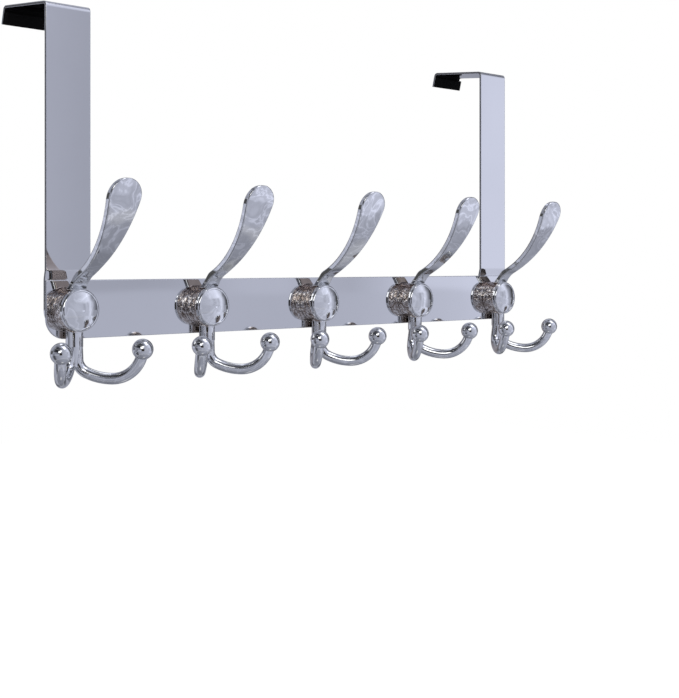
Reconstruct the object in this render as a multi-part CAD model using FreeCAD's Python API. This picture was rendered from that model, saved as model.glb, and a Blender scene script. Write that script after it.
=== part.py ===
"""Over-the-door rack: a polished rail on two bent straps, with five cast triple hooks.

Millimetres. X runs along the rail, Y points into the room behind the door, Z is up.
The origin is the centre of the left strap's seat, the face that rests on the door's top edge.
"""
import FreeCAD, Part
import math
import os

from FreeCAD import Vector

os.makedirs("parts", exist_ok=True)

# Rail: one flat strip with large round bottom corners
rail_length = 432.0
rail_height = 35.6
rail_thickness = 1.2
rail_corner_radius = 13.0
rail_top_corner_radius = 1.0
rail_edge_round = 0.3

# Straps: one bent strip each, flush with the rail's front and its ends
strap_width = 30.8
strap_thickness = 1.6
strap_bend_radius = 1.5
leg_height = 165.7
joggle_height = 5.0
joggle_clearance = 0.6
joggle_bend_radius = 3.0
tab_length = 30.0
tab_corner_radius = 12.0
seat_length = 49.0
seat_rise_deg = 4.9
lip_length = 11.0
lip_flare_deg = 14.0

# Pads: foam on the flat of the back lips and behind the tabs
lip_pad_thickness = 3.0
lip_pad_inset = 0.4
lip_pad_bend_clearance = 0.8
rear_pad_thickness = 3.0
rear_pad_radius = 11.5
rear_pad_hole_clearance = 1.2

# Hooks: equal castings, evenly spaced, the end ones just inboard of the straps' middles
hook_count = 5
end_hook_inset = 0.6
hub_drop = 18.0

hub_radius = 12.9
hub_length = 12.1
hub_rim_radius = 1.8
hub_step = 0.25
hub_dome_rise = 2.2

# Upper paddle: a thick plate that leaves the hub leaning forward, then curves up to its tip
paddle_arc_radius = 81.0
paddle_lean_deg = 16.9
paddle_join_height = 17.3
paddle_join_reach = 6.0
paddle_thickness = 4.0
paddle_top = 76.7
paddle_tip_radius = 10.9
paddle_neck_width = 9.0
paddle_neck_height = 22.0
paddle_neck_round = 40.0
paddle_root_lean_deg = 38.0
paddle_root_width = 13.5
paddle_root_depth = 4.8
paddle_root_front = 5.5
paddle_root_height = 6.0
paddle_root_round_back = 8.0
paddle_root_round_front = 22.0
paddle_edge_round = 0.9

# Lower arms: two round arms that share a stem and end in balls
stem_radius = 5.2
stem_standoff = 5.6
stem_taper_start = 22.0
stem_taper_end = 34.0
stem_taper_radius = 2.2
arm_radius = 3.5
arm_axis_offset = 1.85
arm_splay_deg = 7.0
ball_radius = 6.4
ball_side = 27.8
ball_forward = 36.6
arm_shoulder_radius = 9.0
arm_bowl_radius = 36.0
arm_rise_radius = 19.6
arm_bottom = 41.5
arm_bowl_reach = 20.9
ball_drop = 23.4

# Screws: one from behind into each hub
screw_radius = 2.0
screw_length = 10.0
screw_head_radius = 3.9
screw_head_height = 2.2
screw_recess_width = 1.1
screw_recess_length = 4.4
screw_recess_depth = 1.3
screw_hole_clearance = 0.25
hook_hole_depth = 9.5
hook_hole_clearance = 0.05
hook_hole_tip_deg = 59.0

# Places that follow from the sizes above
seat_rise = math.radians(seat_rise_deg)
lip_flare = math.radians(lip_flare_deg)
paddle_lean = math.radians(paddle_lean_deg)
paddle_root_lean = math.radians(paddle_root_lean_deg)
strap_middle = strap_thickness / 2
bend_middle_radius = strap_bend_radius + strap_middle
seat_middle_y = seat_length / 2
rail_front_y = -(seat_middle_y + strap_middle)
seat_middle_z = strap_middle / math.cos(seat_rise)
leg_top_z = seat_middle_z - seat_middle_y * math.tan(seat_rise)
rail_top_z = leg_top_z - leg_height
rail_bottom_z = rail_top_z - rail_height
rail_back_y = rail_front_y + rail_thickness
tab_back_y = rail_back_y + strap_thickness
strap_spacing = rail_length - strap_width
rail_left_x = -strap_width / 2
strap_xs = {"left": 0.0, "right": strap_spacing}
hook_pitch = (strap_spacing - 2 * end_hook_inset) / (hook_count - 1)
hook_xs = [end_hook_inset + hook_pitch * i for i in range(hook_count)]
hub_z = rail_top_z - hub_drop


def yz(y, z, x=0.0):
    """A point in the plane across the rail."""
    return Vector(x, y, z)


def line(a, b):
    return Part.LineSegment(a, b).toShape()


def arc(a, middle, b):
    return Part.Arc(a, middle, b).toShape()


def extrude_x(wire, width, centre_x=0.0):
    """A solid from a closed outline in a YZ plane, centred on centre_x."""
    solid = Part.Face(wire).extrude(Vector(width, 0, 0))
    solid.translate(Vector(centre_x - width / 2, 0, 0))
    return solid


def drill_y(radius, y_from, y_to, x, z):
    """A cylinder along Y between two depths."""
    return Part.makeCylinder(radius, y_to - y_from, Vector(x, y_from, z), Vector(0, 1, 0))


def edges_along(shape, direction):
    """The straight edges that run along a direction."""
    lines = [e for e in shape.Edges if e.Curve.TypeId == "Part::GeomLine"]
    return [e for e in lines if abs(abs(e.Curve.Direction.dot(direction)) - 1) < 1e-6]


def edges_along_x_at(shape, point):
    """The edges along X that pass through a point of a YZ plane."""
    edges = edges_along(shape, Vector(1, 0, 0))
    return [e for e in edges if (e.CenterOfMass - point).cross(Vector(1, 0, 0)).Length < 1e-6]


def bent_section(points, radii, thickness):
    """The closed section of a bent strip: a route with round bends, given a thickness."""
    half = thickness / 2
    directions = [(b - a).normalize() for a, b in zip(points, points[1:])]
    normals = [Vector(0, -d.z, d.y) for d in directions]
    sides = []
    for side in (half, -half):
        edges = []
        start = points[0] + normals[0] * side
        for i, radius in enumerate(radii):
            corner = points[i + 1]
            before, after = directions[i], directions[i + 1]
            turn = before.getAngle(after)
            tangent = radius * math.tan(turn / 2)
            bisector = (normals[i] + normals[i + 1]).normalize()
            inward = 1 if after.dot(normals[i]) > 0 else -1
            centre = corner + bisector * (inward * radius / math.cos(turn / 2))
            bend_start = corner - before * tangent + normals[i] * side
            bend_end = corner + after * tangent + normals[i + 1] * side
            bend_middle = centre - bisector * (inward * (radius - inward * side))
            edges.append(line(start, bend_start))
            edges.append(arc(bend_start, bend_middle, bend_end))
            start = bend_end
        end = points[-1] + normals[-1] * side
        edges.append(line(start, end))
        sides.append((points[0] + normals[0] * side, edges, end))
    (first_start, first, first_end), (second_start, second, second_end) = sides
    caps = [line(first_end, second_end), line(first_start, second_start)]
    return Part.Wire(Part.__sortEdges__(first + second + caps))


def strap_route():
    """The middle line of a strap, from the tab's foot to the lip's end."""
    tab_y = rail_back_y + strap_middle
    leg_y = rail_front_y + strap_middle
    joggle_foot_z = rail_top_z + joggle_clearance
    joggle_top_z = joggle_foot_z + joggle_height
    lip_corner = yz(leg_y + seat_length, leg_top_z + seat_length * math.tan(seat_rise))
    lip_down = Vector(0, math.sin(lip_flare), -math.cos(lip_flare))
    return [
        yz(tab_y, rail_top_z - tab_length),
        yz(tab_y, joggle_foot_z),
        yz(leg_y, joggle_top_z),
        yz(leg_y, leg_top_z),
        lip_corner,
        lip_corner + lip_down * lip_length,
    ]


def make_strap(centre_x, hook_x):
    radii = [joggle_bend_radius, joggle_bend_radius, bend_middle_radius, bend_middle_radius]
    strap = extrude_x(bent_section(strap_route(), radii, strap_thickness), strap_width, centre_x)
    tab_corners = [e for e in edges_along(strap, Vector(0, 1, 0)) if e.CenterOfMass.z < hub_z]
    strap = strap.makeFillet(tab_corner_radius, tab_corners)
    hole = drill_y(screw_radius + screw_hole_clearance, rail_back_y - 1, tab_back_y + 1, hook_x, hub_z)
    return strap.cut(hole)


def make_rail():
    body = Part.makeBox(rail_length, rail_thickness, rail_height, Vector(rail_left_x, rail_front_y, rail_bottom_z))
    corners = edges_along(body, Vector(0, 1, 0))
    bottom = [e for e in corners if e.CenterOfMass.z < hub_z]
    body = body.makeFillet(rail_corner_radius, bottom)
    corners = edges_along(body, Vector(0, 1, 0))
    top = [e for e in corners if abs(e.CenterOfMass.z - rail_top_z) < 1e-6]
    body = body.makeFillet(rail_top_corner_radius, top)
    front = [f for f in body.Faces if abs(f.CenterOfMass.y - rail_front_y) < 1e-6][0]
    body = body.makeFillet(rail_edge_round, front.Edges)
    for hook_x in hook_xs:
        hole = drill_y(screw_radius + screw_hole_clearance, rail_front_y - 1, rail_back_y + 1, hook_x, hub_z)
        body = body.cut(hole)
    return body


def make_lip_pad(centre_x):
    """Foam on the door side of the lip's flat, from just below the bend to the lip's end."""
    corner, foot = strap_route()[-2:]
    down = (foot - corner).normalize()
    to_door = Vector(0, down.z, -down.y)
    bend_turn = math.pi / 2 + seat_rise - lip_flare
    flat_start = bend_middle_radius * math.tan(bend_turn / 2)
    top = corner + down * (flat_start + lip_pad_bend_clearance)
    back = to_door * strap_middle
    front = back + to_door * lip_pad_thickness
    outline = [top + back, foot + back, foot + front, top + front, top + back]
    return extrude_x(Part.makePolygon(outline), strap_width - 2 * lip_pad_inset, centre_x)


def make_rear_pad(hook_x):
    """A foam ring behind the tab, round the screw's head."""
    pad_back_y = tab_back_y + rear_pad_thickness
    pad = drill_y(rear_pad_radius, tab_back_y, pad_back_y, hook_x, hub_z)
    hole_radius = screw_head_radius + rear_pad_hole_clearance
    return pad.cut(drill_y(hole_radius, tab_back_y - 1, pad_back_y + 1, hook_x, hub_z))


def make_screw(hook_x, head_seat_y):
    """A pan-head screw with a cross recess, pointing forward."""
    shank = drill_y(screw_radius, head_seat_y - screw_length, head_seat_y, hook_x, hub_z)
    head = drill_y(screw_head_radius, head_seat_y, head_seat_y + screw_head_height, hook_x, hub_z)
    rim = [e for e in head.Edges if abs(e.CenterOfMass.y - head_seat_y - screw_head_height) < 1e-6]
    head = head.makeFillet(screw_head_height * 0.45, rim)
    screw = shank.fuse(head).removeSplitter()
    floor_y = head_seat_y + screw_head_height - screw_recess_depth
    for size_x, size_z in ((screw_recess_length, screw_recess_width), (screw_recess_width, screw_recess_length)):
        corner = Vector(hook_x - size_x / 2, floor_y, hub_z - size_z / 2)
        screw = screw.cut(Part.makeBox(size_x, screw_recess_depth + 1, size_z, corner))
    return screw


def make_hub():
    """A turned hub: plain barrel, rounded rim, a small step and a shallow dome."""
    shoulder = hub_radius - hub_rim_radius
    rim_y = -hub_length - hub_rim_radius
    step_y = rim_y + hub_step
    rim_centre = Vector(shoulder, -hub_length, 0)
    rim_middle = rim_centre + Vector(math.sqrt(0.5), -math.sqrt(0.5), 0) * hub_rim_radius
    dome_radius = (shoulder ** 2 + hub_dome_rise ** 2) / (2 * hub_dome_rise)
    dome_centre_y = step_y - hub_dome_rise + dome_radius
    half_angle = math.asin(shoulder / dome_radius) / 2
    dome_middle = Vector(dome_radius * math.sin(half_angle), dome_centre_y - dome_radius * math.cos(half_angle), 0)
    apex = Vector(0, step_y - hub_dome_rise, 0)
    outline = Part.Wire([
        line(Vector(0, 0, 0), Vector(hub_radius, 0, 0)),
        line(Vector(hub_radius, 0, 0), Vector(hub_radius, -hub_length, 0)),
        arc(Vector(hub_radius, -hub_length, 0), rim_middle, Vector(shoulder, rim_y, 0)),
        line(Vector(shoulder, rim_y, 0), Vector(shoulder, step_y, 0)),
        arc(Vector(shoulder, step_y, 0), dome_middle, apex),
        line(apex, Vector(0, 0, 0)),
    ])
    return Part.Face(outline).revolve(Vector(0, 0, 0), Vector(0, 1, 0), 360)


def paddle_side():
    """The paddle's side view: a foot that leans forward, then two concentric arcs to the tip."""
    arc_back_y = -paddle_join_reach + paddle_arc_radius * math.sin(paddle_lean)
    arc_rise = paddle_join_height + paddle_arc_radius * math.cos(paddle_lean)
    centre = yz(arc_back_y, arc_rise)
    outer = paddle_arc_radius + paddle_thickness / 2
    inner = paddle_arc_radius - paddle_thickness / 2
    top_angle = math.asin((arc_rise - paddle_top) / paddle_arc_radius)
    rising = yz(-math.sin(paddle_root_lean), math.cos(paddle_root_lean))

    def on_arc(radius, angle):
        return centre + yz(-radius * math.cos(angle), -radius * math.sin(angle))

    def angle_at(point):
        return math.atan2(centre.z - point.z, centre.y - point.y)

    def rise_to_arc(foot, radius):
        along = (foot - centre).dot(rising)
        return foot - rising * (along + math.sqrt(along ** 2 - (foot - centre).Length ** 2 + radius ** 2))

    front_foot = yz(-paddle_root_front, paddle_root_height)
    back_foot = front_foot + yz(paddle_root_depth, 0)
    inner_root = rise_to_arc(back_foot, inner)
    outer_root = rise_to_arc(front_foot, outer)
    inner_middle = on_arc(inner, (top_angle + angle_at(inner_root)) / 2)
    outer_middle = on_arc(outer, (top_angle + angle_at(outer_root)) / 2)
    side = extrude_x(Part.Wire([
        arc(on_arc(inner, top_angle), inner_middle, inner_root),
        line(inner_root, back_foot),
        line(back_foot, front_foot),
        line(front_foot, outer_root),
        arc(outer_root, outer_middle, on_arc(outer, top_angle)),
        line(on_arc(outer, top_angle), on_arc(inner, top_angle)),
    ]), 4 * paddle_tip_radius)
    side = side.makeFillet(paddle_root_round_back, edges_along_x_at(side, inner_root))
    return side.makeFillet(paddle_root_round_front, edges_along_x_at(side, outer_root))


def paddle_front():
    """The paddle's front view: a waisted neck and straight sides tangent to a round tip."""
    tip_centre = Vector(0, 0, paddle_top - paddle_tip_radius)
    foot = Vector(paddle_root_width / 2, 0, paddle_root_height)
    neck = Vector(paddle_neck_width / 2, 0, paddle_neck_height)
    to_tip = tip_centre - neck
    flare = math.asin(paddle_tip_radius / to_tip.Length) - math.atan2(neck.x, to_tip.z)
    side_end = tip_centre + Vector(math.cos(flare), 0, -math.sin(flare)) * paddle_tip_radius
    left_end, left_neck, left_foot = [Vector(-p.x, 0, p.z) for p in (side_end, neck, foot)]
    outline = Part.Wire([
        line(foot, neck),
        line(neck, side_end),
        arc(side_end, Vector(0, 0, paddle_top), left_end),
        line(left_end, left_neck),
        line(left_neck, left_foot),
        line(left_foot, foot),
    ])
    reach = paddle_arc_radius
    front = Part.Face(outline).extrude(Vector(0, 2 * reach, 0))
    front.translate(Vector(0, -reach, 0))
    necks = [e for e in edges_along(front, Vector(0, 1, 0)) if abs(e.CenterOfMass.z - neck.z) < 1e-6]
    return front.makeFillet(paddle_neck_round, necks)


def make_paddle():
    paddle = paddle_side().common(paddle_front())
    above_foot = [e for e in paddle.Edges if e.BoundBox.ZMax > paddle_root_height + paddle_edge_round]
    return paddle.makeFillet(paddle_edge_round, above_foot)


def arm_path(start_z):
    """An arm's middle line in its own plane: down the stem, round the bowl, up to the ball."""
    bowl_centre = Vector(arm_bowl_reach, 0, -arm_bottom + arm_bowl_radius)
    reach = arm_bowl_radius - arm_shoulder_radius
    across = arm_bowl_reach - arm_shoulder_radius
    shoulder_z = bowl_centre.z - math.sqrt(reach ** 2 - across ** 2)
    shoulder = Vector(arm_shoulder_radius, 0, shoulder_z)
    join_direction = (shoulder - bowl_centre).normalize()
    join = shoulder + join_direction * arm_shoulder_radius
    shoulder_middle = shoulder + (Vector(-1, 0, 0) + join_direction).normalize() * arm_shoulder_radius
    bottom = Vector(arm_bowl_reach, 0, -arm_bottom)
    bowl_middle = bowl_centre + (join_direction + Vector(0, 0, -1)).normalize() * arm_bowl_radius
    rise_centre = bottom + Vector(0, 0, arm_rise_radius)
    ball_angle = math.asin((-ball_drop - rise_centre.z) / arm_rise_radius)

    def on_rise(angle):
        return rise_centre + Vector(math.cos(angle), 0, math.sin(angle)) * arm_rise_radius

    ball = on_rise(ball_angle)
    rise_middle = on_rise((ball_angle - math.pi / 2) / 2)
    edges = [
        line(Vector(0, 0, start_z), Vector(0, 0, shoulder_z)),
        arc(Vector(0, 0, shoulder_z), shoulder_middle, join),
        arc(join, bowl_middle, bottom),
        arc(bottom, rise_middle, ball),
    ]
    return Part.Wire(edges), ball


def make_arm():
    """The right arm with its ball, splayed about the ball's height and turned to its side."""
    path, ball_centre = arm_path(-hub_radius / 2)
    start = Part.Wire([Part.makeCircle(arm_radius, Vector(0, 0, -hub_radius / 2), Vector(0, 0, -1))])
    arm = path.makePipeShell([start], True, True)
    ball = Part.makeSphere(ball_radius, ball_centre)
    arm = arm.fuse(ball)
    arm.rotate(Vector(0, 0, -ball_drop), Vector(1, 0, 0), arm_splay_deg)
    turn = math.atan2(ball_forward - stem_standoff, ball_side - arm_axis_offset)
    arm.rotate(Vector(0, 0, 0), Vector(0, 0, 1), -math.degrees(turn))
    arm.translate(Vector(arm_axis_offset, -stem_standoff, 0))
    return arm


def make_stem():
    """The stem's core: round, then tapering away between the arms."""
    core = Part.makeCylinder(stem_radius, stem_taper_start, Vector(0, 0, -stem_taper_start))
    taper_length = stem_taper_end - stem_taper_start
    taper = Part.makeCone(stem_taper_radius, stem_radius, taper_length, Vector(0, 0, -stem_taper_end))
    stem = core.fuse(taper).removeSplitter()
    stem.translate(Vector(0, -stem_standoff, 0))
    return stem


def make_hook():
    """One casting about its hub's seat on the rail, with the blind screw hole behind."""
    right_arm = make_arm()
    left_arm = right_arm.mirror(Vector(0, 0, 0), Vector(1, 0, 0))
    hook = make_hub().fuse([make_paddle(), make_stem(), right_arm, left_arm])
    hole_radius = screw_radius + hook_hole_clearance
    hook = hook.cut(drill_y(hole_radius, -hook_hole_depth, 1, 0, 0))
    tip_length = hole_radius / math.tan(math.radians(hook_hole_tip_deg))
    tip = Part.makeCone(hole_radius, 0, tip_length, Vector(0, -hook_hole_depth, 0), Vector(0, -1, 0))
    return hook.cut(tip).removeSplitter()


def save(shape, name):
    shape.exportStep("parts/" + name + ".step")
    print(name, "solids", len(shape.Solids), "volume", round(shape.Volume, 1), "valid", shape.isValid())


end_hook_xs = {"left": hook_xs[0], "right": hook_xs[-1]}
save(make_rail(), "rail")
for side, strap_x in strap_xs.items():
    save(make_strap(strap_x, end_hook_xs[side]), "strap_" + side)
    save(make_lip_pad(strap_x), "lip_pad_" + side)
    save(make_rear_pad(end_hook_xs[side]), "rear_pad_" + side)

hook_shape = make_hook()
screws = []
for number, hook_x in enumerate(hook_xs, start=1):
    hook = hook_shape.copy()
    hook.translate(Vector(hook_x, rail_front_y, hub_z))
    save(hook, "hook_" + str(number))
    behind_tab = hook_x in end_hook_xs.values()
    screws.append(make_screw(hook_x, tab_back_y if behind_tab else rail_back_y))
save(Part.makeCompound(screws), "hook_screws")
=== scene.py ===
"""The looks of a polished over-the-door rack: mirror chrome strip, cast chrome hooks, black foam pads.

Metres. X runs along the rail, Y points into the room behind the door, Z is up.
"""
import math

import bmesh
import bpy
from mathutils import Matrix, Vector, noise


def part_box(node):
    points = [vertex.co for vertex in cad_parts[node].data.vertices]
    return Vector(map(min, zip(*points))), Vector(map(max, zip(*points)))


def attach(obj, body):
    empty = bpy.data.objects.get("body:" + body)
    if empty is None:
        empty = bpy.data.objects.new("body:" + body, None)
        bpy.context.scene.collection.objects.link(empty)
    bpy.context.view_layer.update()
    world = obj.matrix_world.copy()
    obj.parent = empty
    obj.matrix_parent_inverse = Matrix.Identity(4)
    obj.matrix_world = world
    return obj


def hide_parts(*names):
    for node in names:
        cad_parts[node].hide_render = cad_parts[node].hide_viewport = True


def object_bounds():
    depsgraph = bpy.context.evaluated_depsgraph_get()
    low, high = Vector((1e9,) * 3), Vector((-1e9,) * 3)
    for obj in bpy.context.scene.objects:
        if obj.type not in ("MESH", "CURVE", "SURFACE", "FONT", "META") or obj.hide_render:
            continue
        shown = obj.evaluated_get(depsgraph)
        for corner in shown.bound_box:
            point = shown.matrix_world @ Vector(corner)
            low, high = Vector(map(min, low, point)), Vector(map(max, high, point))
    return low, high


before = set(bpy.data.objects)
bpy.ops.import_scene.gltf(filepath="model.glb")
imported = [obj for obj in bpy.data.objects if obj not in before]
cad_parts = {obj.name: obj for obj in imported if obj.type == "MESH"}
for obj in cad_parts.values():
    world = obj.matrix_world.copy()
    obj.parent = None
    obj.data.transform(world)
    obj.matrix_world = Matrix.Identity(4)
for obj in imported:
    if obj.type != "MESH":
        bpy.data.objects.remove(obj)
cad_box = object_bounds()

# Photograph: its size in pixels, and the camera that was fitted to it
PHOTO_WIDTH = 679
PHOTO_HEIGHT = 698
FOCAL_PIXELS = 1257.84
CENTRE_COLUMN = 340.0
HORIZON_ROW = 263.79
CAMERA_PLACE = (-0.40648, -0.68615, -0.15729)
CAMERA_YAW = 0.764
SENSOR_WIDTH = 36.0
NEAREST = 0.01
FARTHEST = 100.0

# White room and pale floor
WHITE = (1.0, 1.0, 1.0, 1.0)
FLOOR_GREY = (0.85, 0.85, 0.86, 1.0)
FLOOR_GLOW = 0.2
FLOOR_DROP = 1.3
FLOOR_SIZE = 16.0

# Cards that the chrome mirrors: their steps and seam are in degrees, a layer is a share of the distance
CARD_CENTRE = Vector((0.2, -0.05, -0.17))
CARD_DISTANCE = 6.0
CARD_REACH_DOWN = 1.25
CARD_LAYER = 0.02
CARD_STEP = 3.0
BAND_SEAM = 0.01
NEUTRAL = (1.0, 1.0, 1.0)
LAVENDER = (0.81, 0.84, 1.0)
WARM = (1.0, 0.80, 0.66)

# Mirrored wall behind the rack, as (azimuth, brightness)
BACK_WALL = [(120, 0.12), (132, 0.42), (160, 0.4), (170, 0.12)]

# Heights on a hook, above its hub's middle
UNDER_PADDLE = 0.0088
UNDER_PADDLE_FADE = 0.001
PADDLE_LOW = 0.02
PADDLE_HIGH = 0.06

# Rough part of a hub's barrel: its radii, its length from the rail, how wide they fade, and the painted
# shade at its seat on the rail
BARREL_INSIDE = 0.0116
BARREL_INSIDE_FADE = 0.0005
BARREL_OUTSIDE = 0.0134
BARREL_OUTSIDE_FADE = 0.0004
BARREL_LENGTH = 0.0109
BARREL_FRONT_FADE = 0.0012
SEAT_SHADOW = 0.0007

# Straps: where the back lips start, and the lean of a normal that counts as inside them, which mark where
# shade is painted; rounding of the edges
LIP_START = 0.0205
LIP_INWARD = -0.15
STRIP_EDGE = 0.0009

# Depth of the relief in the materials
STRIP_WAVES = 0.0004
CAST_WAVES = 0.001
CAST_RIPPLES = 0.00005
BARREL_PITS = 0.0014
TURNING_MARKS = 0.00005
FOAM_PORES = 0.0002

# Foam pads
FOAM_EDGE = 0.0005
FOAM_CELL = 0.0012
FOAM_WAVE = 0.00012
FOAM_WAVES_PER_METRE = 450.0
FOAM_ROUNDS = 6
WELD_DISTANCE = 1e-6
FLAT_ANGLE = math.radians(3)
RIM_ANGLE = math.radians(40)

# Colours where a noise is low and where it is high
NOISE_LOW = 0.3
NOISE_HIGH = 0.7
STRIP_SHADES = ((0.55, 0.555, 0.57), (0.57, 0.575, 0.59))
# Near-black painted shade on the inside of the straps' back lips
LIP_SHADE = ((0.002, 0.002, 0.002), (0.004, 0.004, 0.004))
CALM_PLATING = ((0.70, 0.71, 0.72), (0.60, 0.61, 0.62))
# Painted brownish reflection on the side of the casting that faces the door
DOOR_SIDE_REFLECTION = ((0.50, 0.42, 0.36), (0.40, 0.33, 0.28))
# Painted shade, nearly black, where a barrel sits on the rail
BARREL_SEAT_SHADE = ((0.03, 0.02, 0.02), (0.08, 0.06, 0.05))
# Painted shade on the top of a barrel, under its paddle
BARREL_TOP_SHADE = ((0.10, 0.07, 0.06), (0.20, 0.15, 0.13))
ZINC = ((0.40, 0.40, 0.42), (0.50, 0.50, 0.52))
FOAM_SHADES = ((0.0006, 0.0006, 0.0006), (0.004, 0.004, 0.0045))
FOAM_HIGH = 0.75

# Colours with more stops: the wisps in the plating as (place, brightness), the barrel's speckle, whose brown
# is partly a painted reflection, as (place, colour)
WISPS = [(0.30, 0.62), (0.42, 0.50), (0.485, 0.60), (0.51, 0.84), (0.54, 0.57), (0.60, 0.48), (0.72, 0.66)]
WISP_TINT = (0.99, 1.0, 1.02)
BARREL_SPECKLE_AND_REFLECTION = [(0.36, (0.26, 0.21, 0.18)), (0.50, (0.50, 0.44, 0.40)), (0.60, (0.74, 0.70, 0.67))]

HOOKS = ["hook_%d" % number for number in range(1, 6)]
STRAPS = ["strap_left", "strap_right"]
PADS = ["lip_pad_left", "lip_pad_right", "rear_pad_left", "rear_pad_right"]


def middle(node):
    """The middle of a CAD node's box."""
    low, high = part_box(node)
    return (low + high) / 2


# Places that the frame gives: hubs of the hooks, and the rail's front that they sit on
FIRST_HUB_X = middle(HOOKS[0]).x
HUB_PITCH = (middle(HOOKS[-1]).x - FIRST_HUB_X) / (len(HOOKS) - 1)
HUB_Z = middle("hook_screws").z
SEAT_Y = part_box("rail")[0].y
BARREL_FRONT = SEAT_Y - BARREL_LENGTH


class Nodes:
    """Short calls for building the node tree of one material or world."""

    def __init__(self, holder):
        holder.use_nodes = True
        self.tree = holder.node_tree
        self.tree.nodes.clear()

    def add(self, kind, **settings):
        node = self.tree.nodes.new(kind)
        for name, value in settings.items():
            setattr(node, name, value)
        return node

    def link(self, source, target):
        self.tree.links.new(source, target)

    def position(self, scale=(1.0, 1.0, 1.0)):
        """The point on the object, in metres, stretched by a scale."""
        place = self.add("ShaderNodeTexCoord")
        mapping = self.add("ShaderNodeMapping")
        mapping.inputs["Scale"].default_value = scale
        self.link(place.outputs["Object"], mapping.inputs["Vector"])
        return mapping.outputs["Vector"]

    def facing(self):
        """The direction that the surface faces."""
        return self.add("ShaderNodeNewGeometry").outputs["Normal"]

    def noise(self, vector, scale, detail=2.0, roughness=0.5, distortion=0.0):
        node = self.add("ShaderNodeTexNoise")
        node.inputs["Scale"].default_value = scale
        node.inputs["Detail"].default_value = detail
        node.inputs["Roughness"].default_value = roughness
        node.inputs["Distortion"].default_value = distortion
        self.link(vector, node.inputs["Vector"])
        return node.outputs["Fac"]

    def remap(self, value, start, end, low=0.0, high=1.0, kind="SMOOTHSTEP"):
        """Goes from low to high while the value goes from start to end."""
        node = self.add("ShaderNodeMapRange", interpolation_type=kind)
        node.inputs["From Min"].default_value = start
        node.inputs["From Max"].default_value = end
        node.inputs["To Min"].default_value = low
        node.inputs["To Max"].default_value = high
        self.link(value, node.inputs["Value"])
        return node.outputs["Result"]

    def math(self, operation, *values):
        node = self.add("ShaderNodeMath", operation=operation)
        for socket, value in zip(node.inputs, values):
            if isinstance(value, float):
                socket.default_value = value
            else:
                self.link(value, socket)
        return node.outputs["Value"]

    def multiply(self, first, second):
        return self.math("MULTIPLY", first, second)

    def fade_ends(self, value, width):
        """1 in the middle of the range from 0 to 1, and down to 0 at both of its ends."""
        start = self.remap(value, 0.0, width)
        end = self.remap(value, 1.0, 1.0 - width)
        return self.multiply(start, end)

    def split(self, vector):
        node = self.add("ShaderNodeSeparateXYZ")
        self.link(vector, node.inputs["Vector"])
        return node.outputs["X"], node.outputs["Y"], node.outputs["Z"]

    def mix(self, share, first, second):
        node = self.add("ShaderNodeMix", data_type="RGBA")
        self.link(share, node.inputs["Factor"])
        self.link(first, node.inputs["A"])
        self.link(second, node.inputs["B"])
        return node.outputs["Result"]

    def ramp(self, value, stops):
        """A colour for each part of a value's range: stops are (place, colour)."""
        node = self.add("ShaderNodeValToRGB")
        elements = node.color_ramp.elements
        while len(elements) < len(stops):
            elements.new(0.5)
        for element, (place, colour) in zip(elements, stops):
            element.position = place
            element.color = (*colour, 1.0)
        self.link(value, node.inputs["Fac"])
        return node.outputs["Color"]

    def shades(self, value, colours, high=NOISE_HIGH):
        """From the first colour to the second as a noise goes from low to high."""
        return self.ramp(value, [(NOISE_LOW, colours[0]), (high, colours[1])])

    def bump(self, height, distance, strength=1.0, normal=None):
        node = self.add("ShaderNodeBump")
        node.inputs["Strength"].default_value = strength
        node.inputs["Distance"].default_value = distance
        self.link(height, node.inputs["Height"])
        if normal is not None:
            self.link(normal, node.inputs["Normal"])
        return node.outputs["Normal"]


def new_material(name):
    material = bpy.data.materials.new(name)
    nodes = Nodes(material)
    output = nodes.add("ShaderNodeOutputMaterial")
    shader = nodes.add("ShaderNodeBsdfPrincipled")
    nodes.link(shader.outputs["BSDF"], output.inputs["Surface"])
    return material, nodes, shader


def new_object(name, data):
    item = bpy.data.objects.new(name, data)
    bpy.context.scene.collection.objects.link(item)
    return item


def tinted(stops, tint, brightest=1.0):
    """Turns (place, brightness) into (place, colour), as a share of the brightest."""
    return [(place, tuple(part * strength / brightest for part in tint)) for place, strength in stops]


def strip_chrome(name):
    """Mirror chrome strip with a faint film, and near-black painted shade on the inside of the back lips."""
    material, nodes, shader = new_material(name)
    place = nodes.position()
    clouds = nodes.noise(place, scale=12.0, detail=5.0, roughness=0.6, distortion=0.4)
    _, forward, upward = nodes.split(nodes.facing())
    to_door = nodes.math("LESS_THAN", forward, LIP_INWARD)
    to_floor = nodes.math("LESS_THAN", upward, LIP_INWARD)
    on_lip = nodes.math("GREATER_THAN", nodes.split(place)[1], LIP_START)
    # Painted shade: the faces inside the back lips that turn to the door or the floor are made near-black,
    # dull and not metal
    painted_lip_shade = nodes.multiply(nodes.math("MAXIMUM", to_door, to_floor), on_lip)
    colour = nodes.mix(painted_lip_shade, nodes.shades(clouds, STRIP_SHADES), nodes.shades(clouds, LIP_SHADE))
    nodes.link(colour, shader.inputs["Base Color"])
    nodes.link(nodes.math("SUBTRACT", 1.0, painted_lip_shade), shader.inputs["Metallic"])
    nodes.link(nodes.remap(painted_lip_shade, 0.0, 1.0, low=0.04, high=0.8, kind="LINEAR"), shader.inputs["Roughness"])
    edges = nodes.add("ShaderNodeBevel", samples=4)
    edges.inputs["Radius"].default_value = STRIP_EDGE
    relief = nodes.noise(place, scale=9.0, detail=1.0)
    waves = nodes.bump(relief, STRIP_WAVES, normal=edges.outputs["Normal"])
    nodes.link(waves, shader.inputs["Normal"])
    shader.inputs["Specular IOR Level"].default_value = 0.1
    return material


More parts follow.
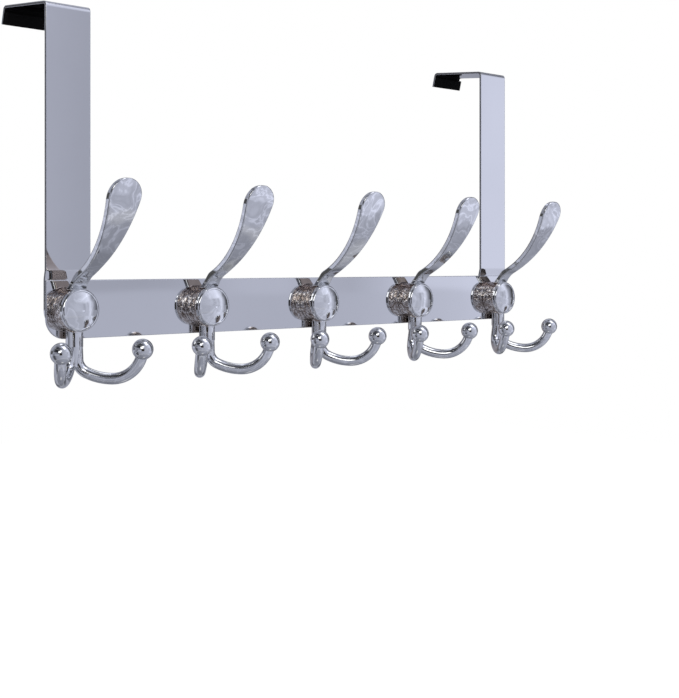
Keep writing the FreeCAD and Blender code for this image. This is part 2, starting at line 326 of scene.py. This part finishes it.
def plating_and_door_reflection(nodes, wisps, up):
    """Chrome whose wisps grow stronger up the paddle, with a painted brownish reflection on the side to the
    door.
    """
    marbled = nodes.ramp(wisps, tinted(WISPS, WISP_TINT))
    strength = nodes.remap(up, PADDLE_LOW, PADDLE_HIGH, low=0.4, high=0.85)
    plating = nodes.mix(strength, nodes.shades(wisps, CALM_PLATING), marbled)
    # Painted reflection: the side facing the door is mixed to brown
    to_door = nodes.remap(nodes.split(nodes.facing())[1], start=0.1, end=0.6)
    return nodes.mix(to_door, plating, nodes.shades(wisps, DOOR_SIDE_REFLECTION))


def barrel_share(nodes, across, forward, up):
    """1 on the rough barrel behind each hub's front, 0 on the rest of the casting."""
    from_first = nodes.math("SUBTRACT", across, FIRST_HUB_X)
    across = nodes.math("WRAP", from_first, 0.5 * HUB_PITCH, -0.5 * HUB_PITCH)
    radius = nodes.math("SQRT", nodes.math("ADD", nodes.multiply(across, across), nodes.multiply(up, up)))
    outer = nodes.remap(radius, BARREL_INSIDE, BARREL_INSIDE + BARREL_INSIDE_FADE)
    inner = nodes.remap(radius, BARREL_OUTSIDE, BARREL_OUTSIDE + BARREL_OUTSIDE_FADE, low=1.0, high=0.0)
    behind = nodes.remap(forward, BARREL_FRONT, BARREL_FRONT + BARREL_FRONT_FADE)
    return nodes.multiply(nodes.multiply(outer, inner), behind)


def barrel_speckle_shade_and_reflection(nodes, speckle, forward, up):
    """Speckled tone whose brown is partly a painted reflection, with painted shade nearly black in a ring
    along the rail and darker under the paddle.
    """
    # Painted shade: nearly black in a thin ring where the barrel meets the rail
    clear = nodes.remap(forward, SEAT_Y - SEAT_SHADOW, SEAT_Y, low=1.0, high=0.0)
    # The speckle's brown is partly a painted reflection; its light and dark speckle is the rough casting's
    # own tone
    rough = nodes.mix(clear, nodes.shades(speckle, BARREL_SEAT_SHADE), nodes.ramp(speckle, BARREL_SPECKLE_AND_REFLECTION))
    # Painted shade: darker towards the top of the barrel, under the paddle
    under = nodes.remap(up, UNDER_PADDLE - UNDER_PADDLE_FADE, UNDER_PADDLE + UNDER_PADDLE_FADE)
    return nodes.mix(under, rough, nodes.shades(speckle, BARREL_TOP_SHADE))


def cast_chrome(name):
    """Chrome over a hand-polished casting: wisps in the plating, wavy faces, a rough barrel with a painted
    brown reflection and painted shade, and a painted brownish reflection on the door side.
    """
    material, nodes, shader = new_material(name)
    place = nodes.position()
    wisps = nodes.noise(place, scale=62.0, detail=3.0, roughness=0.5, distortion=1.2)
    speckle = nodes.noise(place, scale=310.0, detail=1.5, roughness=0.55, distortion=0.8)
    across, forward, height = nodes.split(place)
    up = nodes.math("SUBTRACT", height, HUB_Z)
    barrel = barrel_share(nodes, across, forward, up)
    colour = nodes.mix(barrel, plating_and_door_reflection(nodes, wisps, up), barrel_speckle_shade_and_reflection(nodes, speckle, forward, up))
    nodes.link(colour, shader.inputs["Base Color"])
    nodes.link(nodes.remap(barrel, 0.0, 1.0, low=0.07, high=0.10, kind="LINEAR"), shader.inputs["Roughness"])
    pits = nodes.bump(nodes.multiply(speckle, barrel), BARREL_PITS)
    waves = nodes.bump(nodes.noise(place, scale=45.0, detail=1.0), CAST_WAVES, normal=pits)
    ripples = nodes.bump(nodes.noise(place, scale=220.0, detail=1.0), CAST_RIPPLES, normal=waves)
    nodes.link(ripples, shader.inputs["Normal"])
    shader.inputs["Metallic"].default_value = 1.0
    return material


def screw_steel(name):
    """Plain zinc-plated steel with fine turning marks."""
    material, nodes, shader = new_material(name)
    marks = nodes.noise(nodes.position(scale=(1.0, 8.0, 1.0)), scale=300.0, detail=3.0)
    nodes.link(nodes.shades(marks, ZINC), shader.inputs["Base Color"])
    nodes.link(nodes.bump(marks, TURNING_MARKS), shader.inputs["Normal"])
    shader.inputs["Roughness"].default_value = 0.3
    shader.inputs["Metallic"].default_value = 1.0
    return material


def foam(name):
    """Black closed-cell foam: dull, with fine pores."""
    material, nodes, shader = new_material(name)
    pores = nodes.noise(nodes.position(), scale=2200.0, detail=3.0, roughness=0.7)
    nodes.link(nodes.shades(pores, FOAM_SHADES, high=FOAM_HIGH), shader.inputs["Base Color"])
    nodes.link(nodes.bump(pores, FOAM_PORES, strength=0.6), shader.inputs["Normal"])
    shader.inputs["Roughness"].default_value = 0.9
    shader.inputs["Specular IOR Level"].default_value = 0.08
    return material


def dress(names, material):
    """Gives CAD nodes a finished material in place of the plain one."""
    for name in names:
        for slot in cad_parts[name].material_slots:
            slot.material = material


def soften_edges(form):
    """Rounds the rims of a CAD mesh, once its flat faces are whole."""
    bmesh.ops.remove_doubles(form, verts=form.verts, dist=WELD_DISTANCE)
    bmesh.ops.dissolve_limit(form, angle_limit=FLAT_ANGLE, verts=form.verts, edges=form.edges)
    rims = [edge for edge in form.edges if edge.calc_face_angle(0.0) > RIM_ANGLE]
    bmesh.ops.bevel(
        form, geom=rims, offset=FOAM_EDGE, segments=3, profile=0.5, affect="EDGES", clamp_overlap=True
    )
    bmesh.ops.triangulate(form, faces=form.faces)


def refine(form):
    """Halves the edges that are longer than a cell, for a few rounds."""
    for _ in range(FOAM_ROUNDS):
        long_edges = [edge for edge in form.edges if edge.calc_length() > FOAM_CELL]
        if not long_edges:
            break
        bmesh.ops.subdivide_edges(form, edges=long_edges, cuts=1)
        bmesh.ops.triangulate(form, faces=form.faces)


def press_dents(form):
    """Presses the faces in a little, so that they aren't quite flat."""
    form.normal_update()
    for vertex in form.verts:
        dent = 0.5 + 0.5 * noise.noise(vertex.co * FOAM_WAVES_PER_METRE)
        vertex.co -= vertex.normal * (FOAM_WAVE * max(0.0, dent))


def make_pad(node, material):
    """A die-cut foam pad: softened edges and faces that are never quite flat."""
    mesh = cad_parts[node].data.copy()
    mesh.name = node + "_foam"
    form = bmesh.new()
    form.from_mesh(mesh)
    soften_edges(form)
    refine(form)
    press_dents(form)
    form.to_mesh(mesh)
    form.free()
    mesh.materials.clear()
    mesh.materials.append(material)
    mesh.shade_smooth()
    pad = new_object(node + "_foam", mesh)
    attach(pad, "root")
    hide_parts(node)


def make_camera():
    camera = bpy.data.cameras.new("camera")
    camera.sensor_fit = "HORIZONTAL"
    camera.sensor_width = SENSOR_WIDTH
    camera.lens = SENSOR_WIDTH * FOCAL_PIXELS / PHOTO_WIDTH
    camera.shift_x = (PHOTO_WIDTH / 2 - CENTRE_COLUMN) / PHOTO_WIDTH
    camera.shift_y = (HORIZON_ROW - PHOTO_HEIGHT / 2) / PHOTO_WIDTH
    camera.clip_start = NEAREST
    camera.clip_end = FARTHEST
    item = new_object("camera", camera)
    item.location = CAMERA_PLACE
    item.rotation_euler = (math.pi / 2, 0.0, -CAMERA_YAW)
    bpy.context.scene.camera = item


def make_floor():
    mesh = bpy.data.meshes.new("floor")
    half = FLOOR_SIZE / 2
    height = cad_box[0][2] - FLOOR_DROP
    corners = [(half * x, half * y, height) for x, y in ((-1, -1), (1, -1), (1, 1), (-1, 1))]
    mesh.from_pydata(corners, [], [(0, 1, 2, 3)])
    floor = new_object("floor", mesh)
    material, _, shader = new_material("pale_floor")
    shader.inputs["Base Color"].default_value = FLOOR_GREY
    shader.inputs["Roughness"].default_value = 0.8
    shader.inputs["Specular IOR Level"].default_value = 0.0
    shader.inputs["Emission Color"].default_value = WHITE
    shader.inputs["Emission Strength"].default_value = FLOOR_GLOW
    mesh.materials.append(material)


def make_world():
    world = bpy.data.worlds.new("studio")
    nodes = Nodes(world)
    output = nodes.add("ShaderNodeOutputWorld")
    background = nodes.add("ShaderNodeBackground")
    background.inputs["Color"].default_value = WHITE
    background.inputs["Strength"].default_value = 1.0
    nodes.link(background.outputs["Background"], output.inputs["Surface"])
    bpy.context.scene.world = world


def card_point(azimuth, elevation, layer):
    """A point of a card, nearer on a higher layer and always above the floor.

    Azimuth 0 is straight out from the door, 90 is along the rail.
    """
    turn, rise = math.radians(azimuth), math.radians(elevation)
    heading = Vector((math.sin(turn) * math.cos(rise), -math.cos(turn) * math.cos(rise), math.sin(rise)))
    distance = CARD_DISTANCE
    if heading.z < 0:
        distance = min(distance, CARD_REACH_DOWN / -heading.z)
    distance *= 1 - CARD_LAYER * layer
    return CARD_CENTRE + heading * distance


def card_mesh(name, azimuths, elevations, layer):
    """A curved sheet over a range of azimuths and elevations, with a UV map from edge to edge."""
    left, right = azimuths
    low, high = elevations
    columns = max(2, math.ceil((right - left) / CARD_STEP))
    rows = max(2, math.ceil((high - low) / CARD_STEP))
    form = bmesh.new()
    uv = form.loops.layers.uv.new("card")
    grid = []
    for row in range(rows + 1):
        grid.append([])
        for column in range(columns + 1):
            share = (column / columns, row / rows)
            point = card_point(left + (right - left) * share[0], low + (high - low) * share[1], layer)
            grid[row].append((form.verts.new(point), share))
    for row in range(rows):
        for column in range(columns):
            lower, upper = grid[row][column:column + 2], grid[row + 1][column:column + 2]
            corners = lower + upper[::-1]
            face = form.faces.new([vertex for vertex, _ in corners])
            for loop, (_, share) in zip(face.loops, corners):
                loop[uv].uv = share
    mesh = bpy.data.meshes.new(name)
    form.to_mesh(mesh)
    form.free()
    return mesh


def card_material(name, stops, soft, tint):
    """Glow that follows the stops from left to right and fades out at the card's edges."""
    material = bpy.data.materials.new(name)
    nodes = Nodes(material)
    output = nodes.add("ShaderNodeOutputMaterial")
    glow = nodes.add("ShaderNodeEmission")
    clear = nodes.add("ShaderNodeBsdfTransparent")
    mix = nodes.add("ShaderNodeMixShader")
    across, up, _ = nodes.split(nodes.add("ShaderNodeTexCoord").outputs["UV"])
    brightest = max(strength for _, strength in stops)
    nodes.link(nodes.ramp(across, tinted(stops, tint, brightest)), glow.inputs["Color"])
    glow.inputs["Strength"].default_value = brightest * 3 / sum(tint)
    inside = nodes.multiply(nodes.fade_ends(across, soft[0]), nodes.fade_ends(up, soft[1]))
    nodes.link(inside, mix.inputs["Fac"])
    nodes.link(clear.outputs["BSDF"], mix.inputs[1])
    nodes.link(glow.outputs["Emission"], mix.inputs[2])
    nodes.link(mix.outputs["Shader"], output.inputs["Surface"])
    return material


def make_card(name, azimuths, elevations, layer, soft_degrees, stops, tint):
    """A card that only mirrors see: stops are (azimuth, brightness), nearer layers cover farther ones."""
    left, width = azimuths[0], azimuths[1] - azimuths[0]
    mesh = card_mesh(name, azimuths, elevations, layer)
    shares = [((azimuth - left) / width, strength) for azimuth, strength in stops]
    soft = (soft_degrees[0] / width, soft_degrees[1] / (elevations[1] - elevations[0]))
    mesh.materials.append(card_material(name, shares, soft, tint))
    card = new_object(name, mesh)
    card.visible_camera = False
    card.visible_diffuse = False
    card.visible_shadow = False
    card.visible_transmission = False


def make_band(name, elevations, layer, soft_degrees, stops):
    """A card all round the rack."""
    make_card(name, (-180, 180), elevations, layer, (BAND_SEAM, soft_degrees), stops, LAVENDER)


def make_panel(name, azimuths, elevations, layer, soft_degrees, brightness, tint=NEUTRAL):
    """An evenly bright card: a softbox or a black flag."""
    stops = [(azimuth, brightness) for azimuth in azimuths]
    make_card(name, azimuths, elevations, layer, soft_degrees, stops, tint)


def make_cards():
    """The studio as the chrome mirrors it: a table, walls brighter to the right, softboxes, black flags."""
    make_band("ceiling", (60, 89.9), 0, 4.0, [
        (-180, 0.5), (-100, 0.3), (-30, 0.6), (0, 1.0), (50, 1.2), (90, 0.6), (104, 0.12), (172, 0.12),
        (180, 0.5),
    ])
    make_band("table_low", (-89.9, -40), 0, 12.0, [
        (-180, 0.3), (-100, 0.33), (-60, 0.42), (0, 0.5), (60, 0.5), (98, 0.4), (106, 0.34), (170, 0.3),
        (178, 0.3),
    ])
    make_band("table_middle", (-52, -6), 1, 12.0, [
        (-180, 0.5), (-132, 0.55), (-118, 0.12), (-100, 0.1), (-88, 0.42), (-60, 0.52), (-20, 0.6),
        (10, 0.66), (30, 0.7), (46, 0.72), (55, 0.68), (65, 0.6), (80, 0.5), (98, 0.5), (108, 0.42),
        (118, 0.12), (132, 0.4), (160, 0.38), (170, 0.12), (178, 0.4),
    ])
    make_card("table_edge", (30, 71), (-28.5, -9), 1.5, (5.0, 1.2), [
        (30, 0.7), (38, 0.88), (48, 0.98), (55, 0.95), (64, 0.98), (71, 0.9),
    ], LAVENDER)
    make_band("wall_low", (-9, 20), 2, 5.0, [
        (-180, 0.6), (-150, 0.8), (-134, 0.8), (-122, 0.4), (-90, 0.4), (-60, 0.25), (-44, 0.2),
        (-30, 0.35), (-14, 0.64), (12, 0.8), (26, 0.78), (31, 0.64), (34.7, 0.64), (40, 0.86),
        (44.7, 0.71), (48.8, 1.05), (53, 1.15), (58, 0.8), (64, 0.5), (74, 0.15), (84, 0.2),
        (89, 0.8), (97, 0.8), (104, 0.08), *BACK_WALL, (178, 0.55),
    ])
    make_band("wall_middle", (13, 45), 3, 5.0, [
        (-180, 0.55), (-140, 0.45), (-120, 0.2), (-105, 0.05), (-92, 0.03), (-60, 0.04), (-46, 0.05),
        (-38, 0.3), (-24, 0.6), (0, 0.68), (12, 0.75), (24, 0.9), (36, 1.1), (48, 1.3), (56, 0.9),
        (62, 0.4), (70, 0.15), (82, 0.2), (89, 0.7), (97, 0.7), (104, 0.08), *BACK_WALL, (178, 0.55),
    ])
    make_band("wall_upper", (41, 68), 4, 4.0, [
        (-180, 0.45), (-120, 0.2), (-108, 0.04), (-84, 0.06), (-60, 0.12), (-40, 0.18), (-24, 0.35),
        (-12, 0.5), (0, 0.8), (9, 1.0), (12, 2.5), (38, 2.5), (44, 1.1), (60, 0.7), (70, 0.2),
        (97, 0.7), (125, 0.7), (178, 0.45),
    ])
    make_band("table_far", (-14, -1.1), 5, 0.4, [
        (-180, 0.6), (-150, 0.8), (-134, 0.8), (-122, 0.3), (-104, 0.3), (-90, 0.6), (-50, 0.68),
        (-14, 0.68), (20, 0.72), (34.7, 0.78), (40, 0.76), (44.7, 0.78), (48.8, 0.87), (53, 1.06),
        (58, 0.8), (66, 0.5), (80, 0.5), (98, 0.5), (106, 0.08), *BACK_WALL, (178, 0.4),
    ])
    make_panel("softbox_left", (-62, -33), (11, 31), 6, (2.0, 2.0), 3.0)
    make_panel("softbox_side", (-44, -22), (26, 37), 6, (2.0, 2.0), 3.0)
    make_panel("softbox_top", (4, 64), (57, 76), 6, (2.0, 2.0), 3.0)
    make_panel("flag_camera", (-54, -20), (-16, 10), 7, (3.0, 3.0), 0.03, WARM)
    make_panel("flag_right", (75, 87), (-12, 18), 7, (2.0, 3.0), 0.08)
    make_panel("flag_back_left", (-166, -126), (-5, 17), 7, (3.0, 2.0), 0.1)


dress(["rail"] + STRAPS, strip_chrome("strip_chrome"))
dress(HOOKS, cast_chrome("cast_chrome"))
dress(["hook_screws"], screw_steel("screw_steel"))
foam_black = foam("foam_black")
for node in PADS:
    make_pad(node, foam_black)
make_camera()
make_floor()
make_world()
make_cards()
bpy.context.scene.view_settings.view_transform = "Standard"
